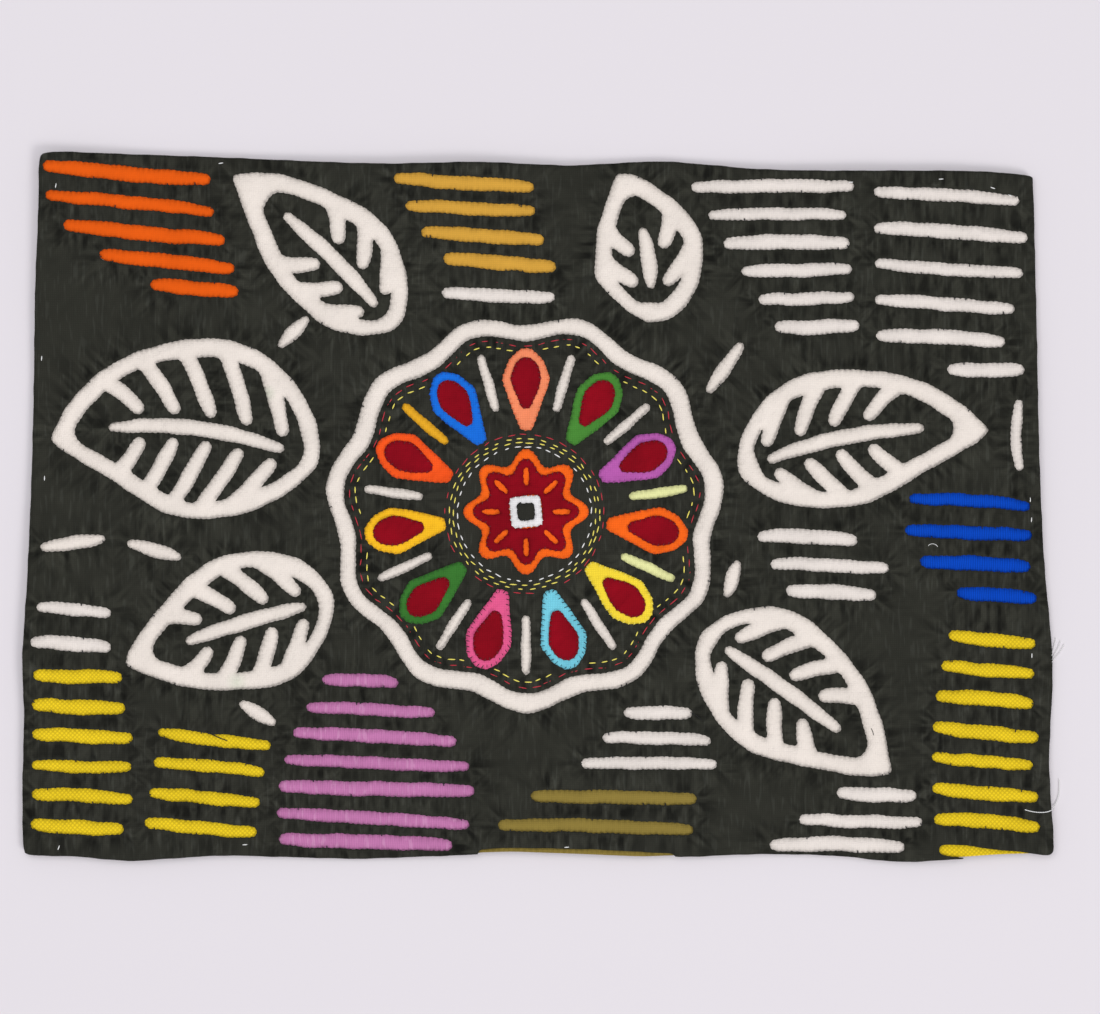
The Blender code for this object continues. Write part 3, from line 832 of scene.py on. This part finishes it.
def woven_cotton(name, colour, pitch=0.9, along=1.0, relief=0.06, groove_shade=0.85, mottle=0.05, slant=0.0,
                 nap=0.1, lumps=0.0, slub="#ffffff", slubs=0.0, crease_shade_and_bump=False, stains=()):
    """Woven cotton, matt: a bump at each thread, painted shade between threads and, where marked, beside
    seams and in creases, and colour that took unevenly.

    The pitch is two to three times the real one of 0.4 mm, which is less than a pixel of the picture. A
    slant, in radians, turns the weave.
    """
    material, tree, shader = new_material(name, COTTON_ROUGHNESS)
    shader.inputs["Specular IOR Level"].default_value = COTTON_SPECULAR
    place = add_node(tree, "TexCoord", {}, "Object")

    # Threads both ways, a little bent. Those of one way may be sharper, so that the cloth looks ribbed.
    bend = add_node(tree, "TexNoise", {"Vector": place, "Scale": BEND_CELLS, "Detail": 1.0}, "Color")
    shift = add_node(tree, "VectorMath", {0: bend, "Scale": BEND}, operation="SCALE")
    moved = add_node(tree, "VectorMath", (place, shift), operation="ADD")
    laid = add_node(tree, "Mapping", {"Vector": moved, "Rotation": (0, 0, slant)})
    bumps = []
    for axis, sharpness in (("X", 1.0), ("Y", along)):
        spot = add_node(tree, "SeparateXYZ", (laid,), axis)
        angle = add_node(tree, "Math", (spot, math.pi / (pitch * MM)), operation="MULTIPLY")
        wave = add_node(tree, "Math", (angle,), operation="SINE")
        size = add_node(tree, "Math", (wave,), operation="ABSOLUTE")
        bumps.append(add_node(tree, "Math", (size, sharpness), operation="POWER"))
    weave = add_node(tree, "Math", bumps, operation="MULTIPLY")
    thread = linear(colour)
    # Painted shade in the grooves between the threads
    woven = add_node(tree, "Mix", {0: weave, 6: dimmed(thread, groove_shade), 7: thread}, 2, data_type="RGBA")

    # Thicker, paler lengths of thread, then stains
    if slubs:
        long_way = add_node(tree, "Mapping", {"Vector": place, "Scale": SLUB_CELLS})
        fleck = add_node(tree, "TexNoise", {"Vector": long_way, "Scale": 1.0, "Detail": 0.0}, "Fac")
        amount = add_node(tree, "MapRange", (fleck, *SLUB_NOISE, 0.0, slubs))
        woven = add_node(tree, "Mix", {0: amount, 6: woven, 7: linear(slub)}, 2, data_type="RGBA")
    woven = stained(tree, place, woven, stains)

    # Clouds in the dye, the painted shade beside a seam, and the relief of threads, fuzz and lumps
    cloud = add_node(tree, "TexNoise", {"Vector": place, "Scale": CLOUD_CELLS, "Detail": 5.0}, "Fac")
    dye = add_node(tree, "MapRange", (cloud, *CLOUD_NOISE, 1 - mottle, 1 + mottle))
    # The mark of painted shade beside a seam, which darkens the colour
    dent = add_node(tree, "Attribute", {}, "Fac", attribute_name="dent")
    held = add_node(tree, "MapRange", (dent, 0.0, 1.0, 1.0, DARKEST_SEAM_SHADE))
    shade = add_node(tree, "Math", (dye, held), operation="MULTIPLY")
    fuzz = add_node(tree, "TexNoise", {"Vector": place, "Scale": FUZZ_CELLS, "Detail": 2.0}, "Fac")
    height = add_node(tree, "Math", (weave, relief), operation="MULTIPLY")
    height = add_node(tree, "Math", (fuzz, nap, height), operation="MULTIPLY_ADD")
    if lumps:
        lump = add_node(tree, "TexNoise", {"Vector": place, "Scale": LUMP_CELLS, "Detail": 1.0}, "Fac")
        height = add_node(tree, "Math", (lump, lumps, height), operation="MULTIPLY_ADD")
    # Painted shade in the creases and painted highlight on their tops, multiplied into the colour; the same
    # values bump the surface
    if crease_shade_and_bump:
        crease_shade = creases(tree, place)
        shade = add_node(tree, "Math", (shade, crease_shade), operation="MULTIPLY")
        height = add_node(tree, "Math", (crease_shade, CREASE_DEPTH, height), operation="MULTIPLY_ADD")
    dyed = add_node(tree, "HueSaturation", {"Value": shade, "Color": woven})
    tree.links.new(dyed, shader.inputs["Base Color"])
    bump = add_node(tree, "Bump", {"Height": height, "Strength": 1.0, "Distance": MM})
    tree.links.new(bump, shader.inputs["Normal"])
    return material


# The twist of a thread: waves to a metre, painted shade between its ribs, and their height in metres
TWIST_WAVES = 700.0
TWIST_SHADE = 0.75
TWIST_HEIGHT = 0.05 * MM
THREAD_ROUGHNESS = 0.6


def sewing_thread(name, colour):
    """Mercerised sewing thread: smoother than the cloth, with a twist that shows as fine slanting ribs,
    bumped and with painted shade between them.
    """
    material, tree, shader = new_material(name, THREAD_ROUGHNESS)
    place = add_node(tree, "TexCoord", {}, "Object")
    wave = {"Vector": place, "Scale": TWIST_WAVES, "Distortion": 1.0}
    twist = add_node(tree, "TexWave", wave, "Fac", bands_direction="DIAGONAL")
    full = linear(colour)
    # Painted shade between the ribs of the twist
    spun = add_node(tree, "Mix", {0: twist, 6: dimmed(full, TWIST_SHADE), 7: full}, 2, data_type="RGBA")
    tree.links.new(spun, shader.inputs["Base Color"])
    bump = add_node(tree, "Bump", {"Height": twist, "Strength": 1.0, "Distance": TWIST_HEIGHT})
    tree.links.new(bump, shader.inputs["Normal"])
    return material


# Cottons of the ground, the base and the scraps
CLOTHS = {
    # Nearly black with a green cast, with grey slubs, and soft creases bumped and given painted shade and
    # highlight
    "charcoal": dict(colour="#303029", groove_shade=0.8, mottle=0.1, slub="#42433c", slubs=0.33, crease_shade_and_bump=True),
    # Warm cream, lumpy and a little stained
    "cream": dict(colour="#efe4d8", groove_shade=0.94, nap=0.28, lumps=0.35, mottle=0.045, stains=STAINS),
    # A little greyer than the base, soft and almost plain
    "white": dict(colour="#ebe1d7", groove_shade=0.93, nap=0.26, lumps=0.3, mottle=0.05),
    # Even, strong orange with hardly any weave
    "orange": dict(colour="#ec5e10", groove_shade=0.93, relief=0.04),
    # Dull gold with a fine weave
    "ochre": dict(colour="#dba540", groove_shade=0.88),
    # The same weave in a clearer gold
    "gold": dict(colour="#f2b128", groove_shade=0.88),
    # Deep blue, ribbed across the slits
    "blue": dict(colour="#0449c2", pitch=0.95, along=0.1, groove_shade=0.62),
    # Bright yellow with an open weave that lies slantwise, as diamonds
    "yellow": dict(colour="#fbd725", pitch=1.3, slant=0.75, groove_shade=0.67, relief=0.12),
    # Orchid pink, ribbed, with pale slubs
    "pink": dict(colour="#c57aab", pitch=0.95, along=0.2, groove_shade=0.85, slub="#dba5c6", slubs=0.3),
    # Brownish olive with a fine weave
    "olive": dict(colour="#927e3b", groove_shade=0.86),
    # Washed-out yellow, nearly plain
    "pale_yellow": dict(colour="#efefa8", groove_shade=0.9),
}

# Closer cottons of the patches that are sewn on top: clear colours on a lumpy, slightly clouded surface. The
# dark crimson is more clouded and lumpy than the others.
PATCH_COLOURS = {
    "charcoal": "#2f2f29", "white": "#f4f1ef", "red": "#8c0618", "orange": "#ff6a1a", "yellow": "#ffe03c",
    "gold": "#ffc223", "blue": "#1a72e0", "rose": "#ec5f90", "vermilion": "#ff5a1e", "peach": "#ff9366",
    "green": "#4b8a36", "deep_green": "#3c7a30", "purple": "#be60b0", "light_blue": "#78cfe0",
}
PATCH_SURFACE = {"mottle": 0.09, "lumps": 0.35}
RED_SURFACE = {"mottle": 0.16, "lumps": 0.5}

# Threads, and the patches whose edges are sewn in another thread than one of the patch's own name
# The orange, gold, blue, vermilion, peach, green, deep green and purple threads and the dark red one are real
# stitches, in a darker tone than the patches they oversew: painted shade for the dents that the stitches draw
THREADS = {
    "white": "#fbfaf6", "yellow": "#fff06a", "red": "#c8283a", "black": "#121316", "orange": "#e85a10",
    "gold": "#e0a010", "blue": "#0e50b8", "vermilion": "#d8450f", "peach": "#f0703c", "green": "#356d22",
    "deep_green": "#2a5c20", "purple": "#9a4690", "dark_red": "#6c0a18",
}
EDGE_THREADS = {"light_blue": "black", "rose": "black", "charcoal": "black", "red": "dark_red"}

# The floor: its paper, and half its side in metres, wide enough for the low views
PAPER = "#e2dcde"
PAPER_ROUGHNESS = 0.95
FLOOR = 5.0


def matt_paper():
    """Studio paper: pale, even and without gloss."""
    material, _, shader = new_material("matt paper sweep", PAPER_ROUGHNESS)
    shader.inputs["Base Color"].default_value = linear(PAPER)
    return material


def add_floor():
    """The plain floor under the panel."""
    bm = bmesh.new()
    bmesh.ops.create_grid(bm, x_segments=2, y_segments=2, size=FLOOR)
    meshed("floor", bm, matt_paper())


# Soft daylight from the lower right and a weaker light overhead: name, power, width and place in metres
LAMPS = (("window", 54.0, 1.6, (2.0, -2.2, 2.4)), ("ceiling", 29.5, 2.6, (-0.5, 0.5, 2.4)))

# The weak fill from everywhere
FILL = "#f2f4ff"
FILL_STRENGTH = 0.52


def add_lamp(name, power, width, place):
    """A soft round light that faces the panel."""
    light = bpy.data.lights.new(name, "AREA")
    light.energy = power
    light.shape = "DISK"
    light.size = width
    lamp = placed(name, light)
    lamp.location = place
    lamp.rotation_euler = (-Vector(place)).to_track_quat("-Z", "Y").to_euler()


def add_light():
    """The studio's lamps, its fill, and colours shown as they are."""
    for lamp in LAMPS:
        add_lamp(*lamp)
    world = bpy.data.worlds.new("studio")
    world.use_nodes = True
    background = world.node_tree.nodes["Background"]
    background.inputs["Color"].default_value = linear(FILL)
    background.inputs["Strength"].default_value = FILL_STRENGTH
    bpy.context.scene.world = world
    bpy.context.scene.view_settings.view_transform = "Standard"


# The photograph looks straight down, and takes in this width around this centre, all in metres. The sensor's
# width is in millimetres.
VIEW_WIDTH = 0.4598
VIEW_CENTRE = (0.005, 0.0)
VIEW_HEIGHT = 1.5
SENSOR = 36.0


def add_camera():
    """A camera over the panel, with the photograph's framing."""
    view = bpy.data.cameras.new("camera")
    view.sensor_width = SENSOR
    view.lens = SENSOR * VIEW_HEIGHT / VIEW_WIDTH
    camera = placed("camera", view)
    camera.location = (*VIEW_CENTRE, VIEW_HEIGHT)
    bpy.context.scene.camera = camera


def add_lower_cloths(finishes, lines):
    """The cream base and the coloured scraps on it, which show through the cuts of the charcoal cloths."""
    seams = Seams(lines)
    nodes = [node for node in sorted(frame["nodes"]) if node.startswith("inlay_")]
    covers = [cut_lines(node)[0] for node in nodes]

    def shows(spots):
        return uncovered(spots, lines)

    def base_shows(spots):
        return shows(spots) & ~np.any([inside(spots, cover) for cover in covers], axis=0)

    cream = finishes["cream"]
    base, edge = lower_cloth("base", "base_cloth", BASE_LEVEL, BASE_CROWN, seams, base_shows, cream)
    scraps, narrow = [], []
    for node in nodes:
        name, finish = node.replace("inlay", "scrap"), finishes[SLOTS[node]]
        scrap, outline = lower_cloth(name, node, INLAY_LEVEL, INLAY_CROWN, seams, shows, finish)
        scraps.append(scrap)
        if least_box(outline).min() * MM < NARROWEST_SHEET:
            narrow.append(scrap)
    return base, scraps


# How the corners of the flower's cloths and of the other patches are cut
FLOWER_CORNER = 2.0
PATCH_CORNER = 0.8

# How far the eye's charcoal runs under its white frame
EYE_UNDER = 1.0


def add_patches(finishes):
    """The flower, its eye and the kites, sewn on top of the medallion."""
    nodes = [node for node in sorted(frame["nodes"]) if node.startswith(("kite", "flower", "eye"))]
    patches = {}
    for k, node in enumerate(nodes):
        level = PATCH_LEVEL if node.endswith("border") else CENTRE_LEVEL
        corner = FLOWER_CORNER if node.startswith("flower") else PATCH_CORNER
        wider = 0.0
        if node == "eye":
            level, wider = EYE_LEVEL, EYE_UNDER
        finish = finishes[SLOTS[node]]
        patches[node] = sewn_patch(node + "_patch", node, level, finish, 700 + 10 * k, corner, wider)
    return patches


# Running stitches round the flower and inside the medallion's edge, in millimetres: thread, radius or inset,
# stitch, pitch and thickness
FLOWER_RINGS = (
    ("white", 28.0, 2.6, 4.6, 0.6), ("yellow", 29.8, 2.8, 4.8, 0.6), ("yellow", 31.4, 2.6, 5.0, 0.6),
    ("red", 33.2, 3.6, 5.6, 0.5),
)
EDGE_RINGS = (("red", 2.2, 3.8, 6.0, 0.5), ("yellow", 4.6, 2.8, 4.8, 0.6))

# The room that running stitches leave round a patch, and how far in oversewing reaches, in black or not
STITCH_ROOM = 0.8
BLACK_REACH = 1.5
OVER_REACH = 1.0


def add_running_stitches(threads, top, borders):
    """Rings of running stitches round the flower and inside the medallion's edge."""
    covers = [line - inward(line) * STITCH_ROOM for line in borders]
    edge = spaced(rounded(cut_lines("medallion_field")[0], CORNER), 3.0)
    heart = (edge.max(axis=0) + edge.min(axis=0)) / 2
    rings = [(*ring, circle(heart, ring[1])) for ring in FLOWER_RINGS]
    rings += [(*ring, edge + inward(edge) * ring[1]) for ring in EDGE_RINGS]
    for colour in ("white", "yellow", "red"):
        bm = bmesh.new()
        for k, (thread, _, length, pitch, thick, line) in enumerate(rings):
            if thread == colour:
                running_stitches(bm, line, top, 40 + k, length, pitch, thick, covers)
        finished(f"{colour}_running_stitches", bm, threads[colour])


def add_stitches(threads, medallion, patches):
    """The medallion's running stitches, and oversewing on each patch."""
    top = Top([medallion, *(patch for patch, _ in patches.values())])
    borders = [lines[0] for node, (_, lines) in patches.items() if node.endswith("border")]
    add_running_stitches(threads, top, borders)
    for slot in sorted({SLOTS[node] for node in patches}):
        thread = EDGE_THREADS.get(slot, slot)
        reach = BLACK_REACH if thread == "black" else OVER_REACH
        bm = bmesh.new()
        for k, (node, (_, lines)) in enumerate(patches.items()):
            if SLOTS[node] == slot:
                overcast_stitches(bm, lines[0], top, 900 + k, reach)
        finished(f"{slot}_patch_stitches", bm, threads[thread])


# Length of turned edge to each knot that shows, how many more or fewer an edge has, and a knot's thickness
KNOT_EVERY = 48.0
KNOT_MORE = 0.5
KNOT_THICK = 0.55
KNOT_SEED = 77

# How far a knot's stitch runs into the cloth and out over the cut, and how high it stands there
KNOT_IN = 0.4
KNOT_OUT = (0.4, 1.1)
KNOT_UP = 0.2


def add_edge_knots(threads, top, lines):
    """Here and there a knot of the charcoal thread, which shows as a dark tick on what the cut bares."""
    drawn = random.Random(KNOT_SEED)
    bm = bmesh.new()
    for line in lines:
        sides = inward(line)
        for _ in range(round(len(line) * EDGE_SPACING / KNOT_EVERY + drawn.uniform(-KNOT_MORE, KNOT_MORE))):
            k = drawn.randrange(len(line))
            ends = (line[k] + sides[k] * KNOT_IN, line[k] - sides[k] * drawn.uniform(*KNOT_OUT))
            raised_end = top.over(*ends[1]) + Vector((0, 0, KNOT_UP))
            add_stitch(bm, top.over(*ends[0]), raised_end, KNOT_THICK)
    finished("edge_knots", bm, threads["black"])


# Bastings that hold the hem, as (x, y) in millimetres and the way that each lies in degrees, then half a
# basting's length and its thickness
BASTINGS = (
    ((-201.0, 134.0), 80), ((-132.3, 143.4), 8), ((130.4, 135.4), 4), ((168.0, 136.7), 3),
    ((189.6, 133.0), -20), ((197.0, 130.0), -20), ((205.2, 3.0), 88), ((205.7, -5.3), 85),
    ((206.0, -62.0), 90), ((-199.8, -142.0), 70), ((-122.2, -140.8), 2), ((12.0, -141.8), 4),
    ((-207.0, 62.0), 85), ((-205.8, 12.0), 88),
)
BASTING_ARM = 1.1
BASTING_THICK = 0.5


def add_bastings(threads, top):
    """White bastings inside the rim."""
    bm = bmesh.new()
    for (x, y), way in BASTINGS:
        arm = heading(way) * BASTING_ARM
        ends = (top.over(x - arm[0], y - arm[1]), top.over(x + arm[0], y + arm[1]))
        add_stitch(bm, *ends, BASTING_THICK)
    finished("bastings", bm, threads["white"])


# Loose ends on the cloth: thread, start, the way it sets off, length, how far it turns, and its thickness
LOOSE_ENDS = (
    ("black", (-138.4, -93.6), -30, 9.5, 12, 0.45), ("black", (63.5, -85.7), -20, 6.0, -30, 0.25),
    ("white", (162.7, -16.2), 50, 4.6, -110, 0.25), ("black", (140.0, -95.2), 95, 3.0, 30, 0.3),
    ("white", (214.6, -63.5), 55, 8.5, 18, 0.3), ("white", (214.4, -62.0), 70, 7.5, 10, 0.3),
    ("white", (214.5, -64.6), 42, 9.0, 22, 0.3),
)
CURL_STEPS = 14

# How high the middle of a loose end lies over the cloth, as a share of its thickness
LOOSE_RISE = 0.4

# A longer white end that trails over the rim to the table, by the spots that it passes
TRAILING_END = (
    (203.0, -126.2), (206.5, -127.2), (211.0, -127.4), (214.2, -126.6), (216.3, -124.4), (217.5, -121.0),
    (217.9, -117.0), (217.7, -113.8),
)
TRAILING_THICK = 0.4
TRAILING_STEPS = 4

# How many times over a drop of the thread is eased
EASINGS = 6


def curled(start, way, length, turn):
    """A line that starts one way, in degrees, and turns evenly by an angle over its length."""
    line, here = [], np.array(start, float)
    for k in range(CURL_STEPS + 1):
        line.append(here)
        here = here + heading(way + turn * (k + 0.5) / CURL_STEPS) * length / CURL_STEPS
    return line


def slackened(points):
    """A line with its drops eased, as a thread bridges the step from the cloth to the table."""
    for _ in range(EASINGS):
        middles = [(a + 2 * b + c) / 4 for a, b, c in zip(points, points[1:], points[2:])]
        for middle, before in zip(middles, points[1:]):
            middle.z = max(middle.z, before.z)
        points = [points[0], *middles, points[-1]]
    return points


def add_loose_ends(threads, top):
    """Ends of thread and fluff that lie on the cloth, and one that trails over the rim."""
    for colour, slot in (("black", "charcoal"), ("white", "white")):
        bm = bmesh.new()
        for thread, start, way, length, turn, thick in LOOSE_ENDS:
            if thread == colour:
                add_thread(bm, top.resting(curled(start, way, length, turn), thick * LOOSE_RISE), thick)
        if colour == "white":
            passed = np.array(TRAILING_END)
            at = np.linspace(0, len(passed) - 1, TRAILING_STEPS * len(passed))
            line = np.stack([np.interp(at, range(len(passed)), side) for side in passed.T], axis=1)
            add_thread(bm, slackened(top.resting(line, TRAILING_THICK / 2)), TRAILING_THICK)
        finished(f"{colour}_thread_ends", bm, threads[colour])


def main():
    """The stage, then the cloths, then what is sewn on them."""
    add_camera()
    add_floor()
    add_light()
    finishes = {slot: woven_cotton(f"{slot} cotton", **looks) for slot, looks in CLOTHS.items()}
    patch_finishes = {}
    for slot, colour in PATCH_COLOURS.items():
        surface = RED_SURFACE if slot == "red" else PATCH_SURFACE
        patch_finishes[slot] = woven_cotton(f"{slot} patch cotton", colour, **surface)
    threads = {name: sewing_thread(f"{name} sewing thread", colour) for name, colour in THREADS.items()}
    charcoal = finishes["charcoal"]
    hem = add_hem(charcoal)
    ground, ground_lines = ground_cloth("ground", "ground_cloth", charcoal, 100)
    islands = {}
    for k, node in enumerate(node for node in sorted(frame["nodes"]) if node.endswith("_field")):
        islands[node] = ground_cloth(node.replace("field", "island"), node, charcoal, 300 + 40 * k)
    lines = [*ground_lines, *(line for _, island_lines in islands.values() for line in island_lines)]
    base, scraps = add_lower_cloths(finishes, lines)
    medallion = islands["medallion_field"][0]
    patches = add_patches(patch_finishes)
    add_stitches(threads, medallion, patches)
    top = Top([ground, base, *scraps])
    add_edge_knots(threads, top, ground_lines[1:])
    add_bastings(threads, top)
    add_loose_ends(threads, top)


main()
